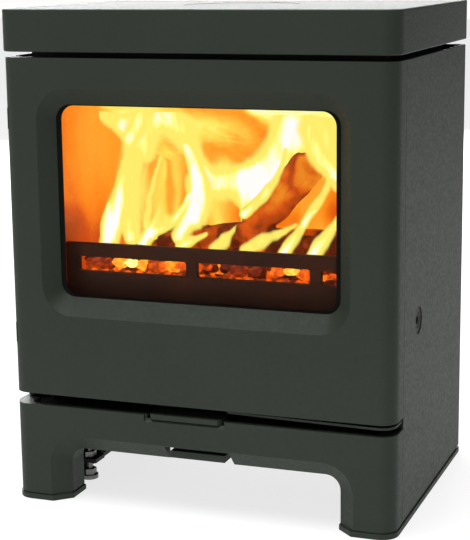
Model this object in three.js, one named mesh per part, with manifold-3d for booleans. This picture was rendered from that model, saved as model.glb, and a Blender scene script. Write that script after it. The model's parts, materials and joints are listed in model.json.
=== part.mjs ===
// A free-standing wood burning stove, as an assembly of separate pieces, in millimetres.
// Inside the assembly x runs to the right, y backwards from the flat front face and z up from the floor.

import * as THREE from "three";
import { mergeVertices } from "three/addons/utils/BufferGeometryUtils.js";
import Module from "manifold-3d";

const wasm = await Module();
wasm.setup();

// ---------------------------------------------------------------- driving dimensions

const WIDTH = 480;
const DEPTH = 348;
const HEIGHT = 597;
const FRONT_RADIUS = 20; // vertical front corners of lid, door and base
const REAR_RADIUS = 6;
const WRAP = 40; // how far door and base wrap round onto the sides
const GAP = 0.3; // between pieces that touch

const LID_BOTTOM = 548;
const BODY_TOP = 541.5; // top of the door and of the side panels
const DOOR_BOTTOM = 135.5;
const BASE_TOP = 121.5;
const BAND_PROUD = 1.3; // how far the foot bands stand out of the sides
const BAND_TOP = 6.5;
const LEG_BOTTOM = 8;

const BEVEL_DEPTH = 19; // wide bevel round the window and the base arch
const BEVEL_WIDTH = 20.3;
const BEVEL_RADIUS = 18; // corner radius at the inner edge of both bevels
const WINDOW = { centre: -3.3, halfWidth: 174.8, bottom: 255, top: 486.3 };
const WINDOW_SIDE_BEVEL = 16.6; // the bevel is narrower at the sides of the window
const ARCH = { halfWidth: 171.7, top: 65 };

const CAST_WALL = 6;
const PANEL = 3; // sheet thickness of the casing panels
const FIREBOX = { halfWidth: 216.5, front: 38, back: 320, bottom: 114.3, top: 589.7, wall: 6 };
const FIREBOX_FLOOR = { bottom: 144, top: 150 };
const FIRE_DOORWAY = { halfWidth: 192, bottom: 158, top: 521 };
const BRICK = { thickness: 23.5, front: 46, back: 286, bottom: 242, top: 499 };
const GRATE = { bottom: 242, top: 250, front: 61, back: 286 };
const GUARD = { front: 50, back: 58, bottom: 250.4, top: 315.5 };
const FLUE = { z: 474, innerRadius: 62.5, outerRadius: 66.5, start: 320.3, end: 381.3 };

const HINGE = { x: -226, y: 18, radius: 4, clearance: 0.3, lowerZ: 197, upperZ: 457, lug: 25 };
const LATCH = { y: 110, z: 234, raisedBy: 25, plateFrom: 223, plateTo: 229 };
const AIR_TAB = { centre: -14.6, halfWidth: 46, bottom: 117, top: 123, front: -0.5 };
const RIDDLE_TAB = { halfWidth: 34.5, bottom: 70.5, top: 79, front: 4.5 };
const FOOT = { x: 186, frontY: 94, rearY: 270, studRadius: 5 };

const HALF_WIDTH = WIDTH / 2;
const OVERALL_DEPTH = FLUE.end + BAND_PROUD;
const ARC_STEPS = 4; // an arc is drawn with twice as many straight steps
const ROUND_STEPS = 24;

// ---------------------------------------------------------------- materials

function material(color, roughness, metalness) {
  return new THREE.MeshStandardMaterial({ color, roughness, metalness });
}

const paint = material(0x343a34, 0.55, 0.3);
const blackSteel = material(0x151513, 0.7, 0.4);
const castIron = material(0x1c1917, 0.8, 0.4);
const firebrick = material(0xc9a878, 0.95, 0.0);
const ropeGrey = material(0x4a4844, 1.0, 0.0);
const glass = material(0x221a14, 0.05, 0.0);
const zincSteel = material(0x8d8f8c, 0.4, 0.9);
const panSteel = material(0x4b4a47, 0.5, 0.8);

// ---------------------------------------------------------------- solids

function solidOf(geometry) {
  geometry.deleteAttribute("normal");
  geometry.deleteAttribute("uv");
  const merged = mergeVertices(geometry);
  const mesh = new wasm.Mesh({
    numProp: 3,
    vertProperties: new Float32Array(merged.attributes.position.array),
    triVerts: new Uint32Array(merged.index.array),
  });
  return new wasm.Manifold(mesh);
}

function geometryOf(solid) {
  const mesh = solid.getMesh();
  const geometry = new THREE.BufferGeometry();
  geometry.setAttribute("position", new THREE.BufferAttribute(mesh.vertProperties, 3));
  geometry.setIndex(new THREE.BufferAttribute(mesh.triVerts, 1));
  return geometry;
}

function joined(first, ...others) {
  return others.reduce((solid, other) => solid.add(other), first);
}

function cut(first, ...others) {
  return others.reduce((solid, other) => solid.subtract(other), first);
}

function box([x0, x1], [y0, y1], [z0, z1]) {
  const geometry = new THREE.BoxGeometry(x1 - x0, y1 - y0, z1 - z0);
  geometry.translate((x0 + x1) / 2, (y0 + y1) / 2, (z0 + z1) / 2);
  return solidOf(geometry);
}

function polygon(points) {
  return new THREE.Shape(points.map(([a, b]) => new THREE.Vector2(a, b)));
}

function extruded(shape, depth) {
  return new THREE.ExtrudeGeometry(shape, { depth, bevelEnabled: false, curveSegments: ARC_STEPS });
}

// A plan outline (x, y) standing between two heights.
function prismZ(shape, [z0, z1]) {
  return solidOf(extruded(shape, z1 - z0).translate(0, 0, z0));
}

// A front outline (x, z) running from y0 back to y1.
function prismY(shape, [y0, y1]) {
  return solidOf(extruded(shape, y1 - y0).rotateX(Math.PI / 2).translate(0, y1, 0));
}

// A side outline (y, z) running from x0 to x1.
function prismX(shape, [x0, x1]) {
  const axes = new THREE.Matrix4().makeBasis(
    new THREE.Vector3(0, 1, 0),
    new THREE.Vector3(0, 0, 1),
    new THREE.Vector3(1, 0, 0),
  );
  return solidOf(extruded(shape, x1 - x0).applyMatrix4(axes).translate(x0, 0, 0));
}

function rod(radius, length, steps = ROUND_STEPS) {
  return new THREE.CylinderGeometry(radius, radius, length, steps);
}

function rodX(radius, [x0, x1], [y, z], steps) {
  return solidOf(rod(radius, x1 - x0, steps).rotateZ(-Math.PI / 2).translate((x0 + x1) / 2, y, z));
}

function rodY(radius, [y0, y1], [x, z], steps) {
  return solidOf(rod(radius, y1 - y0, steps).translate(x, (y0 + y1) / 2, z));
}

function rodZ(radius, [z0, z1], [x, y], steps) {
  return solidOf(rod(radius, z1 - z0, steps).rotateX(Math.PI / 2).translate(x, y, (z0 + z1) / 2));
}

function roundedRect([a0, a1], [b0, b1], radius) {
  const shape = new THREE.Shape();
  shape.moveTo(a0 + radius, b0);
  shape.absarc(a1 - radius, b0 + radius, radius, -Math.PI / 2, 0);
  shape.absarc(a1 - radius, b1 - radius, radius, 0, Math.PI / 2);
  shape.absarc(a0 + radius, b1 - radius, radius, Math.PI / 2, Math.PI);
  shape.absarc(a0 + radius, b0 + radius, radius, Math.PI, Math.PI * 1.5);
  return shape;
}

// A closed solid between a front outline at y0 and an outline with as many points at y1.
function loftY(frontShape, backShape, [y0, y1]) {
  const front = openRing(frontShape);
  const back = openRing(backShape);
  const count = front.length;
  const positions = [];
  front.forEach((point) => positions.push(point.x, y0, point.y));
  back.forEach((point) => positions.push(point.x, y1, point.y));
  const index = [];
  for (const [a, b, c] of THREE.ShapeUtils.triangulateShape(front, [])) {
    index.push(a, b, c, a + count, c + count, b + count);
  }
  for (let i = 0; i < count; i++) {
    const next = (i + 1) % count;
    index.push(i, next + count, next, i, i + count, next + count);
  }
  const geometry = new THREE.BufferGeometry();
  geometry.setAttribute("position", new THREE.Float32BufferAttribute(positions, 3));
  geometry.setIndex(index);
  return solidOf(geometry);
}

function openRing(shape) {
  const ring = shape.extractPoints(ARC_STEPS).shape;
  if (ring[0].distanceTo(ring[ring.length - 1]) < 1e-6) ring.pop();
  if (THREE.ShapeUtils.isClockWise(ring)) ring.reverse();
  return ring;
}

// Plan outline with large front corners and small rear corners.
function casingOutline([x0, x1], [y0, y1], frontRadius, rearRadius) {
  const shape = new THREE.Shape();
  shape.moveTo(x0 + frontRadius, y0);
  shape.absarc(x1 - frontRadius, y0 + frontRadius, frontRadius, -Math.PI / 2, 0);
  shape.absarc(x1 - rearRadius, y1 - rearRadius, rearRadius, 0, Math.PI / 2);
  shape.absarc(x0 + rearRadius, y1 - rearRadius, rearRadius, Math.PI / 2, Math.PI);
  shape.absarc(x0 + frontRadius, y0 + frontRadius, frontRadius, Math.PI, Math.PI * 1.5);
  return shape;
}

// Plan outline of a front casting: rounded front corners and straight returns.
function frontOutline(back) {
  const shape = new THREE.Shape();
  shape.moveTo(-HALF_WIDTH + FRONT_RADIUS, 0);
  shape.absarc(HALF_WIDTH - FRONT_RADIUS, FRONT_RADIUS, FRONT_RADIUS, -Math.PI / 2, 0);
  shape.lineTo(HALF_WIDTH, back);
  shape.lineTo(-HALF_WIDTH, back);
  shape.absarc(-HALF_WIDTH + FRONT_RADIUS, FRONT_RADIUS, FRONT_RADIUS, Math.PI, Math.PI * 1.5);
  return shape;
}

const both = [-1, 1];
const spanX = (side, inner, outer) => (side < 0 ? [-outer, -inner] : [inner, outer]);

// ---------------------------------------------------------------- scene helpers

const stove = new THREE.Group();
stove.position.y = -OVERALL_DEPTH / 2 + BAND_PROUD;

function section(name) {
  const group = new THREE.Group();
  group.name = name;
  stove.add(group);
  return group;
}

function piece(group, name, solid, look, position = [0, 0, 0]) {
  const mesh = new THREE.Mesh(geometryOf(solid), look);
  mesh.name = name;
  mesh.position.set(...position);
  group.add(mesh);
}

// ---------------------------------------------------------------- casing

const LID_HALF_WIDTH = HALF_WIDTH + 2;
const LID_TOP_PLATE = 7;
const BLANK_RADIUS = 70;
const SCREW_HEIGHTS = [60, 290, 510];
const SCREW_X = 231;

function lid() {
  const outer = prismZ(
    casingOutline([-LID_HALF_WIDTH, LID_HALF_WIDTH], [0, DEPTH], FRONT_RADIUS, REAR_RADIUS),
    [LID_BOTTOM, HEIGHT],
  );
  const inside = prismZ(
    casingOutline(
      [-LID_HALF_WIDTH + CAST_WALL, LID_HALF_WIDTH - CAST_WALL],
      [CAST_WALL, DEPTH - CAST_WALL],
      FRONT_RADIUS - CAST_WALL,
      1,
    ),
    [LID_BOTTOM - 1, HEIGHT - LID_TOP_PLATE],
  );
  const blankHole = rodZ(BLANK_RADIUS + 0.5, [HEIGHT - 20, HEIGHT + 1], [0, DEPTH / 2], 48);
  return cut(outer, inside, blankHole);
}

function blankingDisc() {
  return rodZ(BLANK_RADIUS, [HEIGHT - LID_TOP_PLATE, HEIGHT - 0.4], [0, DEPTH / 2], 48);
}

const PANEL_FRONT = WRAP + 0.6;

function sidePanel(side) {
  const heights = [LEG_BOTTOM, BODY_TOP];
  const sheet = box(spanX(side, HALF_WIDTH - PANEL, HALF_WIDTH), [PANEL_FRONT, DEPTH], heights);
  const frontFold = box(
    spanX(side, HALF_WIDTH - 7, HALF_WIDTH),
    [PANEL_FRONT, PANEL_FRONT + PANEL],
    [LEG_BOTTOM, BODY_TOP],
  );
  const rearFold = box(spanX(side, HALF_WIDTH - 17, HALF_WIDTH), [DEPTH - PANEL, DEPTH], heights);
  let panel = joined(sheet, frontFold, rearFold);
  for (const z of SCREW_HEIGHTS) {
    panel = cut(panel, rodY(2.8, [DEPTH - 10, DEPTH + 5], [side * SCREW_X, z], 12));
  }
  if (side < 0) return panel;
  return cut(panel, rodX(16, [HALF_WIDTH - 20, HALF_WIDTH + 5], [LATCH.y, LATCH.z], 32));
}

const REAR_PANEL_Y = [DEPTH - PANEL - GAP - PANEL, DEPTH - PANEL - GAP];

function rearPanel() {
  const halfWidth = HALF_WIDTH - PANEL - GAP;
  let panel = box([-halfWidth, halfWidth], REAR_PANEL_Y, [30, BODY_TOP]);
  panel = cut(panel, rodY(FLUE.outerRadius + 0.5, [300, 400], [0, FLUE.z], 36));
  const slotLength = 70;
  for (const z of [70, 92, 360, 382]) {
    for (const column of [-1.5, -0.5, 0.5, 1.5]) {
      const x = column * 104;
      panel = cut(panel, box([x - slotLength / 2, x + slotLength / 2], [300, 400], [z, z + 7]));
    }
  }
  for (const side of both) {
    for (const z of SCREW_HEIGHTS) {
      panel = cut(panel, rodY(2.8, [300, 400], [side * SCREW_X, z], 12));
    }
  }
  return panel;
}

function panelScrew() {
  const shank = rodY(2.4, [-8, 0.5], [0, 0], 12);
  const head = rodY(4.6, [0.3, 2.6], [0, 0], 20);
  const socket = rodY(2, [1.2, 3], [0, 0], 6);
  return cut(joined(shank, head), socket);
}

function flueCollar() {
  const flange = { from: DEPTH - PANEL + 0.1, to: DEPTH + 1.2, radius: 72 };
  const profile = [
    [FLUE.innerRadius, FLUE.start],
    [FLUE.outerRadius, FLUE.start],
    [FLUE.outerRadius, flange.from],
    [flange.radius, flange.from],
    [flange.radius, flange.to],
    [FLUE.outerRadius, flange.to],
    [FLUE.outerRadius, FLUE.end],
    [FLUE.innerRadius, FLUE.end],
    [FLUE.innerRadius, FLUE.start],
  ];
  const points = profile.map(([radius, along]) => new THREE.Vector2(radius, along));
  return solidOf(new THREE.LatheGeometry(points, 36).translate(0, 0, FLUE.z));
}

const casing = section("casing");
piece(casing, "top_plate", lid(), paint);
piece(casing, "top_blanking_disc", blankingDisc(), paint);
piece(casing, "left_side_panel", sidePanel(-1), paint);
piece(casing, "right_side_panel", sidePanel(1), paint);
piece(casing, "rear_panel", rearPanel(), blackSteel);
piece(casing, "flue_collar", flueCollar(), blackSteel);
for (const side of both) {
  SCREW_HEIGHTS.forEach((z, i) => {
    const name = `panel_screw_${side < 0 ? "left" : "right"}_${i + 1}`;
    piece(casing, name, panelScrew(), zincSteel, [side * SCREW_X, DEPTH, z]);
  });
}

// ---------------------------------------------------------------- base and feet

function archOutline(grow) {
  const halfWidth = ARCH.halfWidth + grow;
  const top = ARCH.top + grow;
  const radius = BEVEL_RADIUS + grow;
  const shape = new THREE.Shape();
  shape.moveTo(-halfWidth, -20);
  shape.lineTo(halfWidth, -20);
  shape.absarc(halfWidth - radius, top - radius, radius, 0, Math.PI / 2);
  shape.absarc(-halfWidth + radius, top - radius, radius, Math.PI / 2, Math.PI);
  return shape;
}

const LEG_BACK = 50;
const BASE_FRONT_WALL = 10;
const NOTCH_CLEARANCE = 6.5;

function baseFront() {
  const heights = [LEG_BOTTOM, BASE_TOP];
  let base = prismZ(frontOutline(WRAP), heights);
  base = cut(base, box([-164, 164], [BEVEL_DEPTH + 1, WRAP + 1], [0, 200]));
  base = cut(base, box([-233, 233], [30, WRAP + 1], [0, 200]));
  for (const side of both) {
    base = joined(base, box(spanX(side, 164, 180), [10, LEG_BACK], [LEG_BOTTOM, 100]));
    base = cut(base, box(spanX(side, 180, 232), [20, WRAP + 1], [0, 112]));
    base = cut(base, box(spanX(side, 198, 232), [12, WRAP + 1], [0, 112]));
  }
  base = cut(base, box([-218, 218], [BASE_FRONT_WALL, WRAP], [92, 200]));
  base = cut(base, loftY(archOutline(BEVEL_WIDTH), archOutline(0), [0, BEVEL_DEPTH]));
  base = cut(
    base,
    prismY(archOutline(BEVEL_WIDTH), [-1, 0.01]),
    prismY(archOutline(0), [BEVEL_DEPTH - 0.01, 60]),
  );
  return cut(base, airTabRecess(), riddleTabNotch());
}

function airTabRecess() {
  const reach = AIR_TAB.halfWidth + 3;
  const across = [AIR_TAB.centre - reach, AIR_TAB.centre + reach];
  const floor = AIR_TAB.bottom - 0.5;
  const pocket = box(across, [-2, BEVEL_DEPTH + 3], [floor, BASE_TOP + 1]);
  const lip = prismX(polygon([[-1, floor - 4.5], [3.5, floor], [3.5, BASE_TOP + 1], [-1, BASE_TOP + 1]]), [
    across[0] - 2.5,
    across[1] + 2.5,
  ]);
  return joined(pocket, lip);
}

function riddleTabNotch() {
  const reach = RIDDLE_TAB.halfWidth + NOTCH_CLEARANCE;
  return box([-reach, reach], [-2, BEVEL_DEPTH + 3], [ARCH.top - 2, RIDDLE_TAB.top + 5]);
}

// Flat runner under each side, wide at the front and rear feet. Drawn for the right-hand side.
function runnerOutline(inset) {
  const outer = HALF_WIDTH + BAND_PROUD - inset;
  const inner = ARCH.halfWidth - 1.3 + inset;
  const waist = 203 + inset;
  const front = -BAND_PROUD + inset;
  const rear = DEPTH + BAND_PROUD - inset;
  const radius = FRONT_RADIUS + BAND_PROUD - inset;
  const shape = new THREE.Shape();
  shape.moveTo(inner, BEVEL_DEPTH - 2);
  shape.lineTo(inner + BEVEL_WIDTH - 1, front);
  shape.absarc(outer - radius, front + radius, radius, -Math.PI / 2, 0);
  shape.absarc(outer - REAR_RADIUS, rear - REAR_RADIUS, REAR_RADIUS, 0, Math.PI / 2);
  shape.lineTo(inner, rear);
  shape.lineTo(inner, rear - LEG_BACK - inset);
  shape.lineTo(waist, rear - LEG_BACK - 10 - inset);
  shape.lineTo(waist, LEG_BACK + 12 - inset);
  shape.lineTo(inner, LEG_BACK + 2 - inset);
  return shape;
}

function footRunner(side) {
  const band = prismZ(runnerOutline(0), [0, BAND_TOP]);
  const groove = prismZ(runnerOutline(2.2), [BAND_TOP - 0.5, LEG_BOTTOM - GAP]);
  const runner = joined(band, groove);
  return side > 0 ? runner : runner.mirror([1, 0, 0]);
}

const BASE_SIDE = { inner: 229, outer: 232, front: 56, back: 337 };
const BASE_PLATE = { bottom: 110, top: 114 };
const FOOT_TAB = { inner: 170, half: 13, bottom: 24, top: 29 };

function baseSidePlate(side) {
  const sheet = box(
    spanX(side, BASE_SIDE.inner, BASE_SIDE.outer),
    [BASE_SIDE.front, BASE_SIDE.back],
    [LEG_BOTTOM, BASE_PLATE.bottom - GAP],
  );
  let plate = sheet;
  for (const y of [FOOT.frontY, FOOT.rearY]) {
    const across = spanX(side, FOOT_TAB.inner, BASE_SIDE.inner + 1);
    const tab = box(across, [y - FOOT_TAB.half, y + FOOT_TAB.half], [FOOT_TAB.bottom, FOOT_TAB.top]);
    const hole = rodZ(FOOT.studRadius + GAP, [0, 60], [side * FOOT.x, y]);
    plate = joined(plate, cut(tab, hole));
  }
  return plate;
}

function baseRearPlate() {
  const halfWidth = BASE_SIDE.inner - GAP;
  const sheet = box([-halfWidth, halfWidth], [334, BASE_SIDE.back], [LEG_BOTTOM, BASE_PLATE.bottom - GAP]);
  return cut(sheet, prismY(archOutline(-10), [300, 360]));
}

const AIR_INTAKE = { length: 80, from: 118, to: 148 };
const RIDDLE_SLOT = { halfWidth: 13, from: 228, to: 282 };

function airIntake([z0, z1]) {
  const half = AIR_INTAKE.length / 2;
  return box([AIR_TAB.centre - half, AIR_TAB.centre + half], [AIR_INTAKE.from, AIR_INTAKE.to], [z0, z1]);
}

function riddleSlot([z0, z1]) {
  const { halfWidth, from, to } = RIDDLE_SLOT;
  return box([-halfWidth, halfWidth], [from, to], [z0, z1]);
}

function baseTopPlate() {
  const halfWidth = BASE_SIDE.outer - 0.5;
  const heights = [BASE_PLATE.bottom, BASE_PLATE.top];
  const sheet = box([-halfWidth, halfWidth], [31, BASE_SIDE.back], heights);
  const tongue = box([-163, 163], [BEVEL_DEPTH + 1.6, 32], heights);
  return cut(joined(sheet, tongue), airIntake([100, 130]), riddleSlot([100, 130]));
}

function levellingFoot() {
  const pad = rodZ(11.5, [0, 5], [0, 0]);
  const hexagon = rodZ(9.5, [4.5, 13], [0, 0], 6);
  const stud = rodZ(FOOT.studRadius, [12, 46], [0, 0], 16);
  return joined(pad, hexagon, stud);
}

function lockNut() {
  return cut(rodZ(9.8, [0, 7], [0, 0], 6), rodZ(FOOT.studRadius + GAP, [-1, 8], [0, 0], 16));
}

const base = section("base");
piece(base, "base_front", baseFront(), paint);
piece(base, "left_foot_runner", footRunner(-1), paint);
piece(base, "right_foot_runner", footRunner(1), paint);
piece(base, "base_left_plate", baseSidePlate(-1), blackSteel);
piece(base, "base_right_plate", baseSidePlate(1), blackSteel);
piece(base, "base_rear_plate", baseRearPlate(), blackSteel);
piece(base, "base_top_plate", baseTopPlate(), blackSteel);
for (const [end, y] of [["front", FOOT.frontY], ["rear", FOOT.rearY]]) {
  for (const side of both) {
    const place = `${end}_${side < 0 ? "left" : "right"}`;
    piece(base, `levelling_foot_${place}`, levellingFoot(), zincSteel, [side * FOOT.x, y, 0]);
    piece(base, `lock_nut_${place}`, lockNut(), zincSteel, [side * FOOT.x, y, FOOT_TAB.top + GAP]);
  }
}

// ---------------------------------------------------------------- firebox

function fireboxBody() {
  const { halfWidth, front, back, bottom, top, wall } = FIREBOX;
  const inside = halfWidth - wall;
  const { halfWidth: doorway, bottom: sill, top: lintel } = FIRE_DOORWAY;
  return cut(
    box([-halfWidth, halfWidth], [front, back], [bottom, top]),
    box([-inside, inside], [front + wall, back - wall], [FIREBOX_FLOOR.top, top - wall]),
    box([-inside, inside], [front - 1, back - wall], [bottom - 1, FIREBOX_FLOOR.bottom]),
    box([-halfWidth - 1, halfWidth + 1], [front - 1, front + 14], [bottom - 1, DOOR_BOTTOM + 1]),
    prismY(roundedRect([-doorway, doorway], [sill, lintel], 10), [front - 1, front + wall + 1]),
    rodY(FLUE.innerRadius, [back - wall - 1, back + 1], [0, FLUE.z], 36),
    airIntake([FIREBOX_FLOOR.bottom - 1, FIREBOX_FLOOR.top + 1]),
    riddleSlot([FIREBOX_FLOOR.bottom - 1, FIREBOX_FLOOR.top + 1]),
  );
}

const BRICK_OUTER = FIREBOX.halfWidth - FIREBOX.wall - GAP;
const BRICK_INNER = BRICK_OUTER - BRICK.thickness;
const REAR_BRICK = { front: BRICK.back + 1, back: FIREBOX.back - FIREBOX.wall - GAP, top: 404 };
const BAFFLE = { front: 112, thickness: 20 };
const BAFFLE_BACK = REAR_BRICK.back;

function sideBrick(side) {
  const slope = (BRICK.top - REAR_BRICK.top) / (BAFFLE_BACK - BAFFLE.front);
  const slopeTop = REAR_BRICK.top + (BAFFLE_BACK - BRICK.back) * slope;
  const outline = polygon([
    [BRICK.front, BRICK.bottom],
    [BRICK.back, BRICK.bottom],
    [BRICK.back, slopeTop],
    [BAFFLE.front, BRICK.top],
    [BRICK.front, BRICK.top],
  ]);
  return prismX(outline, spanX(side, BRICK_INNER, BRICK_OUTER));
}

function rearBrick() {
  const halfWidth = BRICK_INNER - GAP;
  const depths = [REAR_BRICK.front, REAR_BRICK.back];
  let brick = box([-halfWidth, halfWidth], depths, [BRICK.bottom, REAR_BRICK.top - 6]);
  for (let i = -3; i <= 3; i++) {
    brick = cut(brick, rodY(4, [REAR_BRICK.front - 1, REAR_BRICK.back + 1], [i * 46, 372], 12));
  }
  return brick;
}

function throatPlate() {
  const lift = GAP + 0.4;
  const outline = polygon([
    [BAFFLE_BACK, REAR_BRICK.top + lift],
    [BAFFLE_BACK, REAR_BRICK.top + lift + BAFFLE.thickness],
    [BAFFLE.front, BRICK.top + lift + BAFFLE.thickness],
    [BAFFLE.front, BRICK.top + lift],
  ]);
  return prismX(outline, [-BRICK_OUTER, BRICK_OUTER]);
}

function airwashPlate() {
  const front = FIREBOX.front + FIREBOX.wall + 4;
  const halfWidth = BRICK_OUTER;
  const shelf = box([-halfWidth, halfWidth], [front, front + 56], [532, 535]);
  const lip = box([-halfWidth, halfWidth], [front, front + 3], [512, 535]);
  return joined(shelf, lip);
}

function grateRail(side) {
  const heights = [BRICK.bottom - 18, BRICK.bottom - GAP];
  const wallLeg = box(spanX(side, BRICK_OUTER - 4, BRICK_OUTER), [BRICK.front, REAR_BRICK.back], heights);
  const shelf = box(
    spanX(side, BRICK_INNER - 12, BRICK_OUTER),
    [BRICK.front, REAR_BRICK.back],
    [heights[1] - 4, heights[1]],
  );
  return joined(wallLeg, shelf);
}

const MOVING_GRATE = { halfWidth: 70, front: 100, back: 226, travel: 25 };

function bottomGrate() {
  const halfWidth = BRICK_INNER - GAP - 0.5;
  let plate = box([-halfWidth, halfWidth], [GRATE.front, GRATE.back], [GRATE.bottom, GRATE.top]);
  const opening = MOVING_GRATE.halfWidth + 3;
  plate = cut(plate, box([-opening, opening], [70, 231], [200, 300]));
  for (const side of both) {
    for (let i = 0; i < 6; i++) {
      const y = 78 + i * 30;
      plate = cut(plate, box(spanX(side, 92, 168), [y, y + 10], [200, 300]));
    }
  }
  return plate;
}

function movingGrate() {
  const { halfWidth, front, back } = MOVING_GRATE;
  let plate = box([-halfWidth, halfWidth], [front, back], [243.5, 249.5]);
  for (let i = -2; i <= 2; i++) {
    plate = cut(plate, box([i * 26 - 6, i * 26 + 6], [front + 10, back - 60], [200, 300]));
    plate = cut(plate, box([i * 26 - 6, i * 26 + 6], [back - 22, back - 8], [200, 300]));
  }
  return joined(plate, box([-8, 8], [back - 54, back - 26], [241, 244]));
}

const GUARD_SLOTS = [[-169, -29], [-15, 125], [139, 170]];
const GUARD_SLOT_HEIGHT = [281, 299];
const GUARD_FOOT_HEIGHT = 7;

function logGuard() {
  const halfWidth = BRICK_INNER - GAP;
  let guard = box([-halfWidth, halfWidth], [GUARD.front, GUARD.back], [GUARD.bottom, GUARD.top]);
  for (const across of GUARD_SLOTS) {
    const slot = prismY(roundedRect(across, GUARD_SLOT_HEIGHT, 3), [GUARD.front - 1, GUARD.back + 1]);
    guard = cut(guard, slot);
  }
  const footHeights = [GUARD.bottom, GUARD.bottom + GUARD_FOOT_HEIGHT];
  return joined(guard, box([-halfWidth, halfWidth], [GUARD.front, GRATE.front - GAP], footHeights));
}

function ashPan() {
  const outer = box([-150, 150], [64, 224], [FIREBOX_FLOOR.top + GAP, 226]);
  const inside = box([-148, 148], [66, 222], [FIREBOX_FLOOR.top + 2.3, 240]);
  const lip = box([-60, 60], [52, 65], [214, 217]);
  return joined(cut(outer, inside), lip);
}

const firebox = section("firebox");
piece(firebox, "firebox_body", fireboxBody(), blackSteel);
piece(firebox, "firebrick_left", sideBrick(-1), firebrick);
piece(firebox, "firebrick_right", sideBrick(1), firebrick);
piece(firebox, "firebrick_rear", rearBrick(), firebrick);
piece(firebox, "throat_plate", throatPlate(), firebrick);
piece(firebox, "airwash_plate", airwashPlate(), blackSteel);
piece(firebox, "grate_rail_left", grateRail(-1), blackSteel);
piece(firebox, "grate_rail_right", grateRail(1), blackSteel);
piece(firebox, "bottom_grate", bottomGrate(), castIron);
piece(firebox, "log_guard", logGuard(), castIron);
piece(firebox, "ash_pan", ashPan(), panSteel);

// ---------------------------------------------------------------- door

const ROPE = { halfWidth: 206, bottom: 148, top: 530, size: 10, radius: 16 };
const GLASS = { front: 22.6, thickness: 4, overlap: 12 };
const GASKET_LIP = { sides: 5.5, ends: 1.3 }; // how far the gasket shows inside the window
const DOOR_LEFT_RETURN = 24;
const DOOR_WALL_BACK = 22;
const CLIP = { x: 120, width: 30, front: 26.9, thickness: 3 };
const CLIP_HEIGHTS = [233.5, 509.3];

function windowOutline(grow, sideGrow = grow) {
  const halfWidth = WINDOW.halfWidth + sideGrow;
  return roundedRect(
    [WINDOW.centre - halfWidth, WINDOW.centre + halfWidth],
    [WINDOW.bottom - grow, WINDOW.top + grow],
    BEVEL_RADIUS + grow,
  );
}

function ringY(outer, inner, depths) {
  return cut(prismY(outer, depths), prismY(inner, [depths[0] - 1, depths[1] + 1]));
}

function ropePath(grow) {
  return roundedRect(
    [-ROPE.halfWidth - grow, ROPE.halfWidth + grow],
    [ROPE.bottom - grow, ROPE.top + grow],
    ROPE.radius + grow,
  );
}

function hingeLug(z) {
  const lug = box([-HALF_WIDTH + CAST_WALL - 1, -216], [CAST_WALL - 1, 28], [z, z + HINGE.lug]);
  return cut(lug, rodZ(HINGE.radius + HINGE.clearance, [z - 1, z + HINGE.lug + 1], [HINGE.x, HINGE.y]));
}

function armNotch(z) {
  return box([-HALF_WIDTH - 1, -214.5], [13, DOOR_LEFT_RETURN + 5], [z - 9, z]);
}

function doorFrame() {
  const heights = [DOOR_BOTTOM, BODY_TOP];
  const inside = HALF_WIDTH - CAST_WALL;
  let frame = prismZ(frontOutline(DOOR_LEFT_RETURN), heights);
  frame = joined(frame, box([inside, HALF_WIDTH], [DOOR_LEFT_RETURN - 1, WRAP], heights));
  const pocket = prismZ(
    casingOutline([-inside, inside], [CAST_WALL, WRAP + 1], FRONT_RADIUS - CAST_WALL, 1),
    [DOOR_BOTTOM + CAST_WALL, BODY_TOP - CAST_WALL],
  );
  const behindEdges = box([-inside, inside], [DOOR_WALL_BACK, WRAP + 1], [DOOR_BOTTOM - 1, BODY_TOP + 1]);
  frame = cut(frame, pocket, behindEdges);
  const bevelMouth = windowOutline(BEVEL_WIDTH, WINDOW_SIDE_BEVEL);
  const funnelMouth = windowOutline(BEVEL_WIDTH + CAST_WALL, WINDOW_SIDE_BEVEL + CAST_WALL);
  const funnel = loftY(funnelMouth, windowOutline(CAST_WALL), [0, BEVEL_DEPTH + 1]);
  const glassSeat = prismY(windowOutline(16), [14, BEVEL_DEPTH + 1]);
  const ropeChannel = ringY(ropePath(7), ropePath(-7), [CAST_WALL - 1, 27]);
  frame = joined(frame, funnel, glassSeat, ropeChannel);
  for (const z of CLIP_HEIGHTS) {
    for (const side of both) {
      frame = joined(frame, rodY(6, [CAST_WALL - 1, 26.6], [side * CLIP.x, z], 12));
    }
  }
  frame = joined(frame, hingeLug(HINGE.lowerZ), hingeLug(HINGE.upperZ));
  frame = cut(frame, armNotch(HINGE.lowerZ), armNotch(HINGE.upperZ));
  return cut(
    frame,
    loftY(bevelMouth, windowOutline(0), [0, BEVEL_DEPTH]),
    prismY(bevelMouth, [-1, 0.01]),
    prismY(windowOutline(0), [BEVEL_DEPTH - 0.01, 30]),
  );
}

function doorGlass() {
  return prismY(windowOutline(GLASS.overlap), [GLASS.front, GLASS.front + GLASS.thickness]);
}

function glassGasket() {
  const lip = windowOutline(-GASKET_LIP.ends, -GASKET_LIP.sides);
  return ringY(windowOutline(11), lip, [BEVEL_DEPTH + 1 + GAP, GLASS.front - GAP]);
}

function ropeSeal() {
  const half = ROPE.size / 2;
  return ringY(ropePath(half), ropePath(-half), [27 + GAP, FIREBOX.front - GAP]);
}

// One glass clip, drawn for the bottom of the glass: screwed to its boss, pressing on the pane above it.
function glassClip(upsideDown) {
  const depths = [CLIP.front, CLIP.front + CLIP.thickness];
  const plate = prismY(roundedRect([-CLIP.width / 2, CLIP.width / 2], [-9, 19], 3), depths);
  const screwHead = rodY(4.5, [depths[1] - 0.5, depths[1] + 3], [0, 0], 12);
  const clip = joined(plate, screwHead);
  return upsideDown ? clip.mirror([0, 0, 1]) : clip;
}

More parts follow.
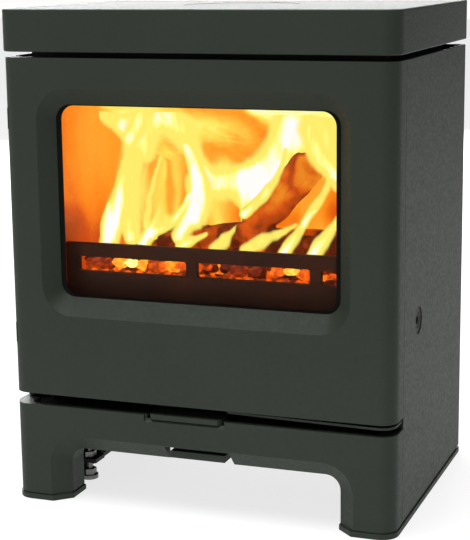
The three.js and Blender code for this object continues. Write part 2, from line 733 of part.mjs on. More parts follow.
function doorStriker() {
  const wall = HALF_WIDTH - CAST_WALL;
  const block = box([wall - 4, wall - GAP], [22, 38], [244, 260]);
  return joined(block, rodX(4, [LATCH.plateFrom - 2, wall - 3], [30, 252], 16));
}

const door = section("door");
piece(door, "door_frame", doorFrame(), paint);
piece(door, "door_glass", doorGlass(), glass);
piece(door, "glass_gasket", glassGasket(), ropeGrey);
piece(door, "door_rope_seal", ropeSeal(), ropeGrey);
piece(door, "door_striker", doorStriker(), zincSteel);
CLIP_HEIGHTS.forEach((z, level) => {
  for (const side of both) {
    const name = `glass_clip_${level ? "top" : "bottom"}_${side < 0 ? "left" : "right"}`;
    piece(door, name, glassClip(level === 1), zincSteel, [side * CLIP.x, 0, z]);
  }
});

// ---------------------------------------------------------------- hinges and latch

const HINGE_ARM = { thickness: 6, bossRadius: 6.8 };

function hingeBracket() {
  const wall = -FIREBOX.halfWidth - GAP;
  const heights = [-HINGE_ARM.thickness - 0.5, -0.5];
  const boss = rodZ(HINGE_ARM.bossRadius, heights, [HINGE.x, HINGE.y]);
  const arm = box([HINGE.x, wall], [HINGE.y, 62], heights);
  const plate = box([wall - 4, wall], [46, 92], [-24, 18]);
  const pinHole = rodZ(HINGE.radius + HINGE.clearance, [-10, 2], [HINGE.x, HINGE.y]);
  return cut(joined(boss, arm, plate), pinHole);
}

function hingePin() {
  const shank = rodZ(HINGE.radius, [-HINGE_ARM.thickness - 1.5, HINGE.lug - 1], [0, 0]);
  const head = rodZ(6.5, [-HINGE_ARM.thickness - 4, -HINGE_ARM.thickness - 0.8], [0, 0], 16);
  return joined(shank, head);
}

function latchSpindle() {
  const shaft = rodX(9, [-19, -2], [0, 0]);
  const collar = rodX(12, [-20, -17.6], [0, 0]);
  const socket = rodX(5.8, [-12, 0], [0, 0], 6);
  return cut(joined(shaft, collar), socket);
}

// The hook as it lies when latched over the striker, turned up about its pivot to the released position.
function latchHook() {
  const arm = polygon([
    [-93, 12],
    [-86.2, 12],
    [-83.8, 22.6],
    [-62, 22.6],
    [-12, -9],
    [9, 9],
    [-58, 34],
    [-93, 34],
  ]);
  const across = [LATCH.plateFrom - HALF_WIDTH, LATCH.plateTo - HALF_WIDTH];
  const plate = joined(prismX(arm, across), rodX(14, across, [0, 0]));
  const bore = rodX(9 + GAP, [across[0] - 1, across[1] + 1], [0, 0]);
  return cut(plate, bore).rotate([-LATCH.raisedBy, 0, 0]);
}

function latchBush() {
  const ring = rodX(15.6, [-10.6, -1.4], [0, 0], 32);
  return cut(ring, rodX(9 + GAP, [-20, 5], [0, 0], 24));
}

const hardware = section("hardware");
for (const [name, z] of [["lower", HINGE.lowerZ], ["upper", HINGE.upperZ]]) {
  piece(hardware, `hinge_bracket_${name}`, hingeBracket(), blackSteel, [0, 0, z]);
  piece(hardware, `hinge_pin_${name}`, hingePin(), zincSteel, [HINGE.x, HINGE.y, z]);
}
const latchPlace = [HALF_WIDTH, LATCH.y, LATCH.z];
piece(hardware, "latch_spindle", latchSpindle(), zincSteel, latchPlace);
piece(hardware, "latch_hook", latchHook(), zincSteel, latchPlace);
piece(hardware, "latch_bush", latchBush(), blackSteel, latchPlace);

// ---------------------------------------------------------------- air control and riddling gear

const AIR_BOX = { halfWidth: 60, front: 60, back: 200, bottom: 114.5, top: 143.6, wall: 2.5 };
const DAMPER = { bottom: 117.4, top: 120.4, halfWidth: 50, back: 192, travel: 30 };

function airBox() {
  const { halfWidth, front, back, bottom, top, wall } = AIR_BOX;
  const outer = box([-halfWidth, halfWidth], [front, back], [bottom, top]);
  const inside = box(
    [wall - halfWidth, halfWidth - wall],
    [front + wall, back - wall],
    [bottom + wall, top - wall],
  );
  const mouth = box([-30, 30], [front - 1, front + wall + 1], [bottom + wall, bottom + 8]);
  const half = AIR_INTAKE.length / 2;
  const throughHoles = box([-half, half], [AIR_INTAKE.from, AIR_INTAKE.to], [bottom - 1, top + 1]);
  return cut(outer, inside, mouth, throughHoles);
}

// Pull tab, stem and damper plate in one piece, drawn about the tab's own centre line.
function airSlide() {
  const { halfWidth, bottom, top, front } = AIR_TAB;
  const tab = prismZ(
    polygon([
      [-halfWidth + 4, front],
      [halfWidth - 4, front],
      [halfWidth, front + 6],
      [halfWidth, 24],
      [-halfWidth, 24],
      [-halfWidth, front + 6],
    ]),
    [bottom, top],
  );
  const stem = box([-24, 24], [20, AIR_INTAKE.from], [DAMPER.bottom, DAMPER.top]);
  const plate = box([-DAMPER.halfWidth, DAMPER.halfWidth], [100, DAMPER.back], [DAMPER.bottom, DAMPER.top]);
  const port = box(
    [-AIR_INTAKE.length / 2, AIR_INTAKE.length / 2],
    [AIR_INTAKE.from + DAMPER.travel, AIR_INTAKE.to + DAMPER.travel],
    [DAMPER.bottom - 1, DAMPER.top + 1],
  );
  return cut(joined(tab, stem, plate), port);
}

function riddleSlide() {
  const { halfWidth, bottom, top, front } = RIDDLE_TAB;
  const tab = box([-halfWidth, halfWidth], [front, 26], [bottom, top]);
  const stem = box([-10, 10], [20, 270], [71, 77]);
  const post = box([-8, 8], [262, 270], [71, 240.7]);
  const arm = box([-8, 8], [170, 270], [234.7, 240.7]);
  return joined(tab, stem, post, arm);
}

function riddleGuide() {
  const hanger = box([-26, 26], [62, 68], [62, BASE_PLATE.bottom - GAP]);
  const window = box([-10 - GAP, 10 + GAP], [60, 70], [71 - GAP, 77 + GAP]);
  return cut(hanger, window);
}

// Thin trim in the slot between door and base, to the right of the air tab and round the corner.
function slotTrim() {
  const outer = HALF_WIDTH - 1.5;
  const inner = outer - 9;
  const bend = HALF_WIDTH - FRONT_RADIUS;
  const start = AIR_TAB.centre + AIR_TAB.halfWidth + 4;
  const shape = new THREE.Shape();
  shape.moveTo(start, FRONT_RADIUS - (outer - bend));
  shape.absarc(bend, FRONT_RADIUS, outer - bend, -Math.PI / 2, 0);
  shape.lineTo(outer, WRAP - 2);
  shape.lineTo(inner, WRAP - 2);
  shape.absarc(bend, FRONT_RADIUS, inner - bend, 0, -Math.PI / 2, true);
  shape.lineTo(start, FRONT_RADIUS - (inner - bend));
  const strip = prismZ(shape, [129.2, 132.4]);
  const tongue = box([196, 214], [8, FIREBOX.front + 14 - GAP], [129.2, 132.4]);
  return joined(strip, tongue);
}

const controls = section("controls");
piece(controls, "air_box", airBox(), blackSteel, [AIR_TAB.centre, 0, 0]);
piece(controls, "air_slide", airSlide(), paint, [AIR_TAB.centre, 0, 0]);
piece(controls, "riddle_slide", riddleSlide(), paint);
piece(controls, "riddle_guide", riddleGuide(), blackSteel);
piece(controls, "riddling_grate", movingGrate(), castIron);
piece(controls, "slot_trim", slotTrim(), paint);

export default stove;
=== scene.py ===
import json
import math
import random

import bmesh
import bpy
import numpy as np
from mathutils import Matrix, Vector, noise

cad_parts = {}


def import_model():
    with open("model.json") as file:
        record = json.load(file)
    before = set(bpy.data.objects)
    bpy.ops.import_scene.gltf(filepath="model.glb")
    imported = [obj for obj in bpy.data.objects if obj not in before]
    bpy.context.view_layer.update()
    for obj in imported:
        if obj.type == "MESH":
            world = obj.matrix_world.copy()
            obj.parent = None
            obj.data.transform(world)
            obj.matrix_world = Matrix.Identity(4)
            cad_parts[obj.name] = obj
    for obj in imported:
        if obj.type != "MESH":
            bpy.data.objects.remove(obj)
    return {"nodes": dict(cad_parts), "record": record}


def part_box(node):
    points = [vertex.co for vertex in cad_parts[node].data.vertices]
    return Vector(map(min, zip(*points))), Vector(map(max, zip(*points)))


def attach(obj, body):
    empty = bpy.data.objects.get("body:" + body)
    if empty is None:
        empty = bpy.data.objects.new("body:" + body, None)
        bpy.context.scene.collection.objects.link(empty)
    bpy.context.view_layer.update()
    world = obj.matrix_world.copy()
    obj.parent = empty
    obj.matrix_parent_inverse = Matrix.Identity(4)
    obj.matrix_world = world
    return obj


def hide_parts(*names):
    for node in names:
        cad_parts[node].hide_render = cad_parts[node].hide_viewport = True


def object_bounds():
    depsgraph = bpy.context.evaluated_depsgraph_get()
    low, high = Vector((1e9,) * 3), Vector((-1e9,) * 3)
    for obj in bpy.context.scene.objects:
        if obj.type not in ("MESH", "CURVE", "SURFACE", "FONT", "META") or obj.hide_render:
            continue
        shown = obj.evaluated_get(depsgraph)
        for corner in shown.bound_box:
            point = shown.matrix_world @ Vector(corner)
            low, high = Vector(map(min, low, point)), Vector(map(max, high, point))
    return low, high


# Looks of the wood burning stove, in metres: x to the right, y from the door to the flue, z up.

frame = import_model()
CAD_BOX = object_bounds()
RECORD = frame["record"]
BODY_OF = {node: body for body, nodes in RECORD["behaviour"]["bodies"].items() for node in nodes}
SLOT_OF = {part["node"]: part["material_slot"] for part in RECORD["subparts"]}

random.seed(7)


# ---------------------------------------------------------------- small helpers


def new_object(name, mesh):
    made = bpy.data.objects.new(name, mesh)
    bpy.context.scene.collection.objects.link(made)
    return made


def dress(piece, material):
    piece.data.materials.clear()
    piece.data.materials.append(material)
    return piece


def mesh_piece(name, points, faces, material, body="root", smooth=True):
    """A new piece built from points and faces, riding on a CAD body."""
    mesh = bpy.data.meshes.new(name)
    mesh.from_pydata([tuple(point) for point in points], [], faces)
    mesh.polygons.foreach_set("use_smooth", [smooth] * len(mesh.polygons))
    mesh.update()
    piece = dress(new_object(name, mesh), material)
    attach(piece, body)
    return piece


def point_values(piece, name, values):
    attribute = piece.data.attributes.new(name, "FLOAT", "POINT")
    attribute.data.foreach_set("value", values)


def smooth_step(low, high, value):
    share = min(max((value - low) / (high - low), 0.0), 1.0)
    return share * share * (3 - 2 * share)


def spline(points, share):
    """A smooth curve through points of any length, share running from 0 to 1."""
    span = share * (len(points) - 1)
    i = min(int(span), len(points) - 2)
    t = span - i
    before = points[max(i - 1, 0)]
    start, end = points[i], points[i + 1]
    after = points[min(i + 2, len(points) - 1)]
    return [
        0.5 * (2 * b + (c - a) * t + (2 * a - 5 * b + 4 * c - d) * t * t + (3 * b - a - 3 * c + d) * t**3)
        for a, b, c, d in zip(before, start, end, after)
    ]


class Look:
    """A node material put together round one Principled shader."""

    def __init__(self, name, **inputs):
        self.material = bpy.data.materials.new(name)
        self.material.use_nodes = True
        self.tree = self.material.node_tree
        self.shader = self.tree.nodes["Principled BSDF"]
        self.place = self.node("TexCoord").outputs["Object"]
        self.set(**inputs)

    def set(self, **inputs):
        for name, value in inputs.items():
            self.feed(self.shader.inputs[name.replace("_", " ")], value)

    def feed(self, socket, value):
        if isinstance(value, bpy.types.NodeSocket):
            self.tree.links.new(value, socket)
        else:
            socket.default_value = value

    def node(self, kind, options=None, **inputs):
        made = self.tree.nodes.new("ShaderNode" + kind)
        for option, value in (options or {}).items():
            setattr(made, option, value)
        for name, value in inputs.items():
            self.feed(made.inputs[name.replace("_", " ")], value)
        return made

    def stretched(self, x, y, z):
        """Object coordinates, scaled along each axis."""
        return self.node("Mapping", Vector=self.place, Scale=(x, y, z)).outputs["Vector"]

    def noise(self, scale, detail=3.0, roughness=0.5, distortion=0.0, place=None):
        made = self.node(
            "TexNoise",
            Vector=place or self.place,
            Scale=scale,
            Detail=detail,
            Roughness=roughness,
            Distortion=distortion,
        )
        return made.outputs["Fac"]

    def cells(self, scale, feature="F1", place=None, output="Distance"):
        made = self.node("TexVoronoi", {"feature": feature}, Vector=place or self.place, Scale=scale)
        return made.outputs[output]

    def math(self, operation, first, second=0.0, clamp=False):
        made = self.node("Math", {"operation": operation, "use_clamp": clamp})
        self.feed(made.inputs[0], first)
        self.feed(made.inputs[1], second)
        return made.outputs[0]

    def remap(self, value, low, high, new_low=0.0, new_high=1.0):
        made = self.node("MapRange", {"interpolation_type": "SMOOTHSTEP"}, Value=value)
        limits = {"From Min": low, "From Max": high, "To Min": new_low, "To Max": new_high}
        for name, number in limits.items():
            made.inputs[name].default_value = number
        return made.outputs["Result"]

    def ramp(self, value, stops):
        made = self.node("ValToRGB", Fac=value)
        elements = made.color_ramp.elements
        while len(elements) < len(stops):
            elements.new(1.0)
        for element, (position, colour) in zip(elements, stops):
            element.position = position
            element.color = (*colour, 1.0)
        return made.outputs["Color"]

    def mix(self, share, first, second):
        made = self.node("Mix", {"data_type": "RGBA"})
        self.feed(made.inputs["Factor"], share)
        for name, value in (("A", first), ("B", second)):
            socket = next(s for s in made.inputs if s.name == name and s.type == "RGBA")
            self.feed(socket, value if isinstance(value, bpy.types.NodeSocket) else (*value, 1.0))
        return next(s for s in made.outputs if s.type == "RGBA")

    def bump(self, *layers):
        """Stacks bumps, each a height and a depth in metres."""
        normal = None
        for height, depth in layers:
            made = self.node("Bump", Height=height, Distance=depth, Strength=1.0)
            if normal:
                self.feed(made.inputs["Normal"], normal)
            normal = made.outputs["Normal"]
        self.set(Normal=normal)

    def axis(self, name):
        return self.node("SeparateXYZ", Vector=self.place).outputs[name]

    def attribute(self, name):
        return self.node("Attribute", {"attribute_name": name}).outputs["Fac"]


# ---------------------------------------------------------------- materials


def stove_paint():
    look = Look("stove_paint", Specular_IOR_Level=0.22)
    drift = look.noise(7.0, detail=2.0)
    grain = look.noise(1300.0, detail=2.0, roughness=0.6)
    peel = look.noise(260.0, detail=2.0)
    tone = look.ramp(drift, [(0.3, (0.0195, 0.0265, 0.0180)), (0.7, (0.0225, 0.0300, 0.0210))])
    speckled = look.mix(look.remap(grain, 0.35, 0.75, 0.0, 0.3), tone, (0.034, 0.042, 0.032))
    look.set(Base_Color=speckled, Roughness=look.remap(peel, 0.3, 0.7, 0.5, 0.62))
    look.bump((peel, 0.00004), (grain, 0.000012))
    return look.material


def black_steel():
    look = Look("black_steel", Specular_IOR_Level=0.35)
    patches = look.noise(18.0, detail=4.0)
    grain = look.noise(900.0, detail=2.0)
    tone = look.ramp(patches, [(0.35, (0.012, 0.012, 0.0115)), (0.7, (0.022, 0.021, 0.0195))])
    look.set(Base_Color=tone, Roughness=look.remap(patches, 0.3, 0.7, 0.6, 0.78))
    look.bump((grain, 0.00008))
    return look.material


def cast_iron():
    look = Look("cast_iron", Specular_IOR_Level=0.12)
    stain = look.noise(24.0, detail=5.0, roughness=0.6)
    pits = look.noise(650.0, detail=3.0, roughness=0.6)
    # The warm browns are partly the iron's own rust and wear and partly painted firelight: a warm tint
    # standing for the fire's light on the guard and grates.
    rust_firelit, brown_firelit, worn_firelit = (0.030, 0.010, 0.005), (0.048, 0.014, 0.006), (0.078, 0.024, 0.009)
    tone = look.ramp(stain, [(0.32, rust_firelit), (0.55, brown_firelit), (0.75, worn_firelit)])
    look.set(Base_Color=tone, Roughness=look.remap(stain, 0.3, 0.7, 0.62, 0.85))
    look.bump((pits, 0.00012))
    return look.material


def zinc_steel():
    look = Look("zinc_steel", Metallic=1.0)
    brushed = look.noise(60.0, detail=3.0, place=look.stretched(1.0, 1.0, 14.0))
    tone = look.ramp(brushed, [(0.3, (0.12, 0.12, 0.11)), (0.7, (0.20, 0.20, 0.19))])
    look.set(Base_Color=tone, Roughness=look.remap(brushed, 0.3, 0.7, 0.3, 0.46))
    look.bump((brushed, 0.00005))
    return look.material


def pan_steel():
    look = Look("pan_steel", Metallic=0.85)
    ash = look.noise(22.0, detail=6.0, roughness=0.65)
    dark, grey, pale = (0.09, 0.088, 0.085), (0.2, 0.195, 0.19), (0.36, 0.35, 0.34)
    tone = look.ramp(ash, [(0.35, dark), (0.62, grey), (0.8, pale)])
    look.set(Base_Color=tone, Roughness=look.remap(ash, 0.3, 0.7, 0.42, 0.8))
    look.bump((ash, 0.0002))
    return look.material


def rope_yarn():
    look = Look("rope_yarn", Roughness=0.95, Sheen_Weight=0.3, Specular_IOR_Level=0.2)
    fibres = look.noise(1600.0, detail=2.0)
    soot = look.noise(30.0, detail=3.0)
    tone = look.ramp(soot, [(0.3, (0.045, 0.042, 0.04)), (0.7, (0.12, 0.115, 0.108))])
    look.set(Base_Color=look.mix(look.remap(fibres, 0.4, 0.7, 0.0, 0.5), tone, (0.2, 0.19, 0.18)))
    look.bump((fibres, 0.0003))
    return look.material


def graphite_tape():
    """The flat gasket that shows as a black line round the glass."""
    look = Look("graphite_tape", Roughness=0.9, Specular_IOR_Level=0.1)
    weave = look.noise(1400.0, detail=2.0)
    look.set(Base_Color=look.ramp(weave, [(0.3, (0.002, 0.0025, 0.002)), (0.7, (0.006, 0.0065, 0.006))]))
    look.bump((weave, 0.0001))
    return look.material


def stove_glass():
    look = Look("stove_glass", Transmission_Weight=1.0, IOR=1.07, Base_Color=(1.0, 0.985, 0.96, 1.0))
    wipe = look.noise(9.0, detail=4.0, place=look.stretched(1.0, 1.0, 2.5))
    look.set(Roughness=look.remap(wipe, 0.45, 0.8, 0.0, 0.035))
    return look.material


# From black through dull red and orange to yellow and white.
FIRE_STOPS = [
    (0.0, (0.012, 0.002, 0.001)),
    (0.2, (0.16, 0.012, 0.001)),
    (0.38, (0.80, 0.10, 0.003)),
    (0.5, (1.0, 0.27, 0.010)),
    (0.62, (1.0, 0.42, 0.035)),
    (0.74, (1.0, 0.74, 0.10)),
    (0.85, (1.0, 1.0, 0.22)),
    (0.93, (1.0, 1.0, 0.62)),
    (1.0, (1.0, 1.0, 1.0)),
]


CLEAR_HEAT = 0.79  # a flame's thin rim is no darker than this


# Colours of the painted firelight on the brick, from dull red where it is painted weakest to orange.
BRICK_FIRELIGHT_STOPS = [
    (0.0, (0.24, 0.01, 0.0)),
    (0.35, (0.60, 0.04, 0.001)),
    (0.62, (1.0, 0.22, 0.003)),
    (1.0, (1.0, 0.33, 0.02)),
]


# Strength of the painted firelight emission on the brick.
BRICK_PAINTED_FIRELIGHT = 0.88


def firebrick():
    """Pressed vermiculite with painted firelight: an emission standing for the fire's light on the brick,
    painted darker dull red low at the front and orange above, only on faces turned towards the fire.
    """
    look = Look("firebrick", Roughness=0.92, Specular_IOR_Level=0.15)
    flakes = look.cells(260.0)
    mottle = look.noise(30.0, detail=4.0)
    tone = look.ramp(mottle, [(0.3, (0.16, 0.07, 0.02)), (0.7, (0.26, 0.13, 0.045))])
    look.set(Base_Color=look.mix(look.remap(flakes, 0.1, 0.6, 0.0, 0.4), tone, (0.36, 0.2, 0.08)))
    # The emission below is painted firelight, not heat in the brick: warmth and glow here are how strongly
    # the fire's light is painted, weaker and redder low at the front.
    height = look.remap(look.axis("Z"), 0.30, 0.41)
    depth = look.remap(look.axis("Y"), -0.15, -0.03)
    wander = look.remap(look.noise(14.0, detail=3.0), 0.3, 0.7, -0.12, 0.12)
    reach = look.math("ADD", look.math("MULTIPLY", height, 0.62), look.math("MULTIPLY", depth, 0.42))
    warmth = look.math("ADD", reach, wander, clamp=True)
    glow = look.ramp(warmth, BRICK_FIRELIGHT_STOPS)
    look.set(Emission_Color=glow, Emission_Strength=0.88)
    look.bump((flakes, 0.0006), (mottle, 0.0008))
    # Painted firelight only on faces turned towards the fire, none on faces looking up or to the rear.
    turned = look.node("SeparateXYZ", Vector=look.node("NewGeometry").outputs["True Normal"]).outputs
    not_up = look.remap(turned["Z"], 0.3, 0.6, 1.0, 0.0)
    not_rearward = look.remap(turned["Y"], 0.5, 0.8, 1.0, 0.0)
    painted_firelight_faces = look.math("MULTIPLY", not_up, not_rearward)
    look.set(Emission_Strength=look.math("MULTIPLY", painted_firelight_faces, BRICK_PAINTED_FIRELIGHT))
    return look.material


def burning_gas(name, flicker, solid):
    """Flames and the curtain behind: white in the core, orange outwards, clear at the rim."""
    look = Look(name, Base_Color=(0.0, 0.0, 0.0, 1.0), Roughness=1.0, Specular_IOR_Level=0.0)
    streaks = look.noise(26.0, detail=3.0, distortion=0.9, place=look.stretched(1.7, 1.7, 0.5))
    wisps = look.noise(70.0, detail=2.0, distortion=1.0, place=look.stretched(1.6, 1.6, 0.4))
    play = look.math(
        "ADD",
        look.remap(streaks, 0.25, 0.75, -flicker, flicker),
        look.remap(wisps, 0.25, 0.75, -flicker / 3, flicker / 3),
    )
    heat = look.math("ADD", look.attribute("warmth"), play, clamp=True)
    if solid:
        look.set(Emission_Color=look.ramp(heat, FIRE_STOPS))
    else:
        look.set(Emission_Color=look.ramp(look.math("MAXIMUM", heat, CLEAR_HEAT), FIRE_STOPS))
        look.set(Alpha=look.remap(heat, 0.2, 0.78))
    look.set(Emission_Strength=1.0)
    return look.material


def burning_wood():
    look = Look("burning_wood", Roughness=0.9, Specular_IOR_Level=0.2)
    char = look.noise(38.0, detail=5.0, roughness=0.6)
    cracks = look.cells(70.0, feature="DISTANCE_TO_EDGE", place=look.stretched(1.3, 1.0, 0.7))
    fine = look.noise(300.0, detail=4.0)
    look.set(Base_Color=look.ramp(char, [(0.3, (0.008, 0.006, 0.005)), (0.75, (0.05, 0.03, 0.02))]))
    patch = look.remap(look.noise(22.0, detail=2.0, distortion=0.6), 0.32, 0.68, 0.2, 0.5)
    gap = look.remap(cracks, 0.0, 0.08, -0.02, 0.0)
    height = look.node("SeparateXYZ", Vector=look.place).outputs["Z"]
    patch = look.math("ADD", patch, look.remap(height, 0.33, 0.40, -0.12, 0.08))
    glow = look.math("ADD", patch, gap)
    heat = look.math("ADD", glow, look.remap(char, 0.3, 0.7, -0.05, 0.05), clamp=True)
    look.set(Emission_Color=look.ramp(heat, FIRE_STOPS), Emission_Strength=0.8)
    look.bump((look.remap(cracks, 0.0, 0.08), 0.0008), (fine, 0.0006))
    return look.material


def ember_glow():
    look = Look("ember_glow", Roughness=0.95, Specular_IOR_Level=0.1)
    crust = look.noise(150.0, detail=4.0, roughness=0.6)
    look.set(Base_Color=look.ramp(crust, [(0.3, (0.01, 0.008, 0.007)), (0.75, (0.07, 0.055, 0.045))]))
    cooled = look.remap(crust, 0.25, 0.75, 0.06, -0.16)
    heat = look.math("ADD", look.attribute("warmth"), cooled, clamp=True)
    look.set(Emission_Color=look.ramp(heat, FIRE_STOPS), Emission_Strength=1.3)
    look.bump((crust, 0.0015))
    return look.material


LOOKS = {
    "stove_paint": stove_paint(),
    "black_steel": black_steel(),
    "cast_iron": cast_iron(),
    "firebrick": firebrick(),
    "rope_seal": rope_yarn(),
    "stove_glass": stove_glass(),
    "zinc_steel": zinc_steel(),
    "pan_steel": pan_steel(),
}


# ---------------------------------------------------------------- casing pieces with worked edges

# How far the sharp edges of each casting or sheet are broken, in metres.
EDGE_RADII = {
    "top_plate": 0.0018,
    "top_blanking_disc": 0.0010,
    "door_frame": 0.0015,
    "base_front": 0.0015,
    "left_side_panel": 0.0009,
    "right_side_panel": 0.0009,
    "left_foot_runner": 0.0007,
    "right_foot_runner": 0.0007,
    "flue_collar": 0.0009,
    "air_slide": 0.0008,
    "riddle_slide": 0.0008,
    "slot_trim": 0.0006,
    "log_guard": 0.0014,
    "bottom_grate": 0.0012,
    "riddling_grate": 0.0010,
    "latch_bush": 0.0006,
    "latch_spindle": 0.0005,
    "latch_hook": 0.0006,
    "door_striker": 0.0005,
    "hinge_bracket_lower": 0.0006,
    "hinge_bracket_upper": 0.0006,
    "ash_pan": 0.0004,
    "airwash_plate": 0.0005,
}
ROOMY = ("top_plate", "left_side_panel", "right_side_panel")
SHARP = math.radians(31)
FLAT = math.radians(0.4)


def worked(node, radius):
    """A copy of a CAD piece with its facets merged and its sharp edges broken, standing for that piece."""
    source = frame["nodes"][node]
    shape = bmesh.new()
    for vertex in source.data.vertices:
        shape.verts.new(vertex.co)
    shape.verts.ensure_lookup_table()
    for polygon in source.data.polygons:
        shape.faces.new([shape.verts[i] for i in polygon.vertices])
    bmesh.ops.remove_doubles(shape, verts=shape.verts, dist=2e-6)
    bmesh.ops.dissolve_limit(
        shape, angle_limit=FLAT, verts=shape.verts, edges=shape.edges, use_dissolve_boundaries=False
    )
    bmesh.ops.connect_verts_concave(shape, faces=shape.faces)
    mesh = bpy.data.meshes.new(node + "_worked")
    for face in shape.faces:
        face.smooth = True
    shape.to_mesh(mesh)
    shape.free()
    piece = dress(new_object(node + "_worked", mesh), LOOKS[SLOT_OF[node]])
    bevel = piece.modifiers.new("broken edges", "BEVEL")
    bevel.width = radius
    bevel.segments = 3
    bevel.limit_method = "ANGLE"
    bevel.angle_limit = SHARP
    bevel.miter_outer = "MITER_ARC"
    bevel.harden_normals = True
    bevel.use_clamp_overlap = node not in ROOMY
    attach(piece, BODY_OF[node])
    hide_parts(node)
    return piece


for node, radius in EDGE_RADII.items():
    worked(node, radius)

for node, part in frame["nodes"].items():
    dress(part, LOOKS[SLOT_OF[node]])
dress(frame["nodes"]["glass_gasket"], graphite_tape())


# ---------------------------------------------------------------- the fire

GUARD_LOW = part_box("log_guard")[0]
GRATE_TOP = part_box("bottom_grate")[1].z
BRICK_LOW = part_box("firebrick_rear")[0]
BAFFLE_LOW, BAFFLE_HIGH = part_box("throat_plate")
FIRE_HALF_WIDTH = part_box("firebrick_right")[0].x - 0.002


def tube_faces(rings, around):
    faces = []
    for ring in range(rings - 1):
        for i in range(around):
            j = (i + 1) % around
            a, b = ring * around, (ring + 1) * around
            faces.append((a + i, a + j, b + j, b + i))
    return faces


def burning_log(name, start, end, radius, seed):
    """A split log lying from start to end, with ragged bark and broken ends."""
    rings, around = 44, 36
    start, end = Vector(start), Vector(end)
    along = (end - start).normalized()
    side = along.cross(Vector((0, 0, 1))).normalized()
    up = side.cross(along)
    points = []
    for ring in range(rings):
        share = ring / (rings - 1)
        centre = start.lerp(end, share)
        end_taper = 1 - 0.35 * smooth_step(0.06, 0.0, share) - 0.35 * smooth_step(0.94, 1.0, share)
        for i in range(around):
            angle = 2 * math.pi * i / around
            split = 1 - 0.26 * smooth_step(0.3, 1.0, math.cos(angle - seed))
            lumps = 0.16 * noise.noise(Vector((math.cos(angle) + seed, math.sin(angle), share * 4)))
            bark = 0.07 * noise.noise(Vector((math.cos(angle) * 5, math.sin(angle) * 5 + seed, share * 9)))
            reach = radius * end_taper * split * (1 + lumps + bark)
            at_end = ring in (0, rings - 1)
            ragged = along * 0.006 * noise.noise(Vector((angle, seed, ring * 0.7))) * at_end
            points.append(centre + ragged + reach * (side * math.cos(angle) + up * math.sin(angle)))
    faces = tube_faces(rings, around)
    faces.append(tuple(range(around)))
    faces.append(tuple(reversed(range((rings - 1) * around, rings * around))))
    return mesh_piece(name, points, [tuple(reversed(face)) for face in faces], WOOD)


def add_ember(bed, place, size, draw):
    """Adds one ragged closed lump to a bmesh and says how many points it has."""
    made = bmesh.ops.create_icosphere(bed, subdivisions=3, radius=1.0)["verts"]
    squash = Vector((draw.uniform(0.85, 1.5), draw.uniform(0.7, 1.1), draw.uniform(0.6, 0.95)))
    offset = Vector((draw.uniform(0, 50), 0, 0))
    for vertex in made:
        bulge = 1 + 0.32 * noise.noise(vertex.co * 1.7 + offset)
        bulge += 0.12 * noise.noise(vertex.co * 5 + offset)
        vertex.co = Vector(c * s for c, s in zip(vertex.co * bulge * size, squash)) + Vector(place)
    return len(made)


def ember_bed(name, embers, draw):
    """Lumps of charcoal in one mesh. embers lists place, size and heat."""
    bed = bmesh.new()
    heats = []
    for place, size, heat in embers:
        heats += [heat] * add_ember(bed, place, size, draw)
    mesh = bpy.data.meshes.new(name)
    bed.to_mesh(mesh)
    bed.free()
    mesh.polygons.foreach_set("use_smooth", [True] * len(mesh.polygons))
    piece = dress(new_object(name, mesh), EMBER)
    point_values(piece, "warmth", heats)
    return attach(piece, "root")


def scattered(count, x_range, y_range, z_range, heat_range, draw):
    """Embers strewn through a box."""
    spans = (x_range, y_range, z_range)
    return [
        ([draw.uniform(*span) for span in spans], draw.uniform(0.006, 0.011), draw.uniform(*heat_range))
        for _ in range(count)
    ]


def heat_field(points, strokes):
    """How hot each point (x, z) is. A stroke lists x, z, half width and heat along its middle."""
    waver = np.array(
        [
            (
                0.0032 * noise.noise(Vector((x * 34, z * 20, 1.5)))
                + 0.0012 * noise.noise(Vector((x * 120, z * 70, 4.0))),
                0.0040 * noise.noise(Vector((x * 34, z * 20, 9.0))),
            )
            for x, z in points
        ]
    )
    at = np.array(points) + waver
    cold = np.ones(len(at))
    for stroke in strokes:
        hottest = np.zeros(len(at))
        for step in range(STROKE_STEPS + 1):
            x, z, half, heat = spline(stroke, step / STROKE_STEPS)
            away = np.hypot(at[:, 0] - x, at[:, 1] - z) / max(half, 0.0008)
            fade = np.clip((STROKE_REACH - away) / (STROKE_REACH - STROKE_CORE), 0, 1)
            hottest = np.maximum(hottest, heat * fade * fade * (3 - 2 * fade))
        cold *= 1 - np.clip(hottest, 0, 1)
    return 1 - cold


def flame_sheet(name, foot_y, top_y, strokes):
    """A standing sheet of flames, cut away where it is cold and bulging forward where it is hot."""
    step = 0.0025
    left, low, high = -FIRE_HALF_WIDTH + 0.002, GRATE_TOP + 0.014, 0.4795
    columns = int(round(-2 * left / step)) + 1
    rows = int(round((high - low) / step)) + 1
    flat = [(left + step * column, low + step * row) for row in range(rows) for column in range(columns)]
    heat = heat_field(flat, strokes)
    points = []
    for (x, z), warmth in zip(flat, heat):
        lean = foot_y + (top_y - foot_y) * (z - low) / (high - low)
        ripple = 0.003 * noise.noise(Vector((x * 28, z * 10, foot_y * 50)))
        points.append((x, lean + ripple - 0.006 * warmth, z))
    faces, used = [], {}
    for row in range(rows - 1):
        for column in range(columns - 1):
            a = row * columns + column
            quad = (a, a + 1, a + columns + 1, a + columns)
            if max(heat[i] for i in quad) > 0.16:
                faces.append(tuple(used.setdefault(i, len(used)) for i in quad))
    kept = sorted(used, key=used.get)
    piece = mesh_piece(name, [points[i] for i in kept], faces, FLAME)
    point_values(piece, "warmth", [heat[i] for i in kept])
    solid = piece.modifiers.new("thickness", "SOLIDIFY")
    solid.thickness = 0.0012
    solid.offset = 1.0
    return piece


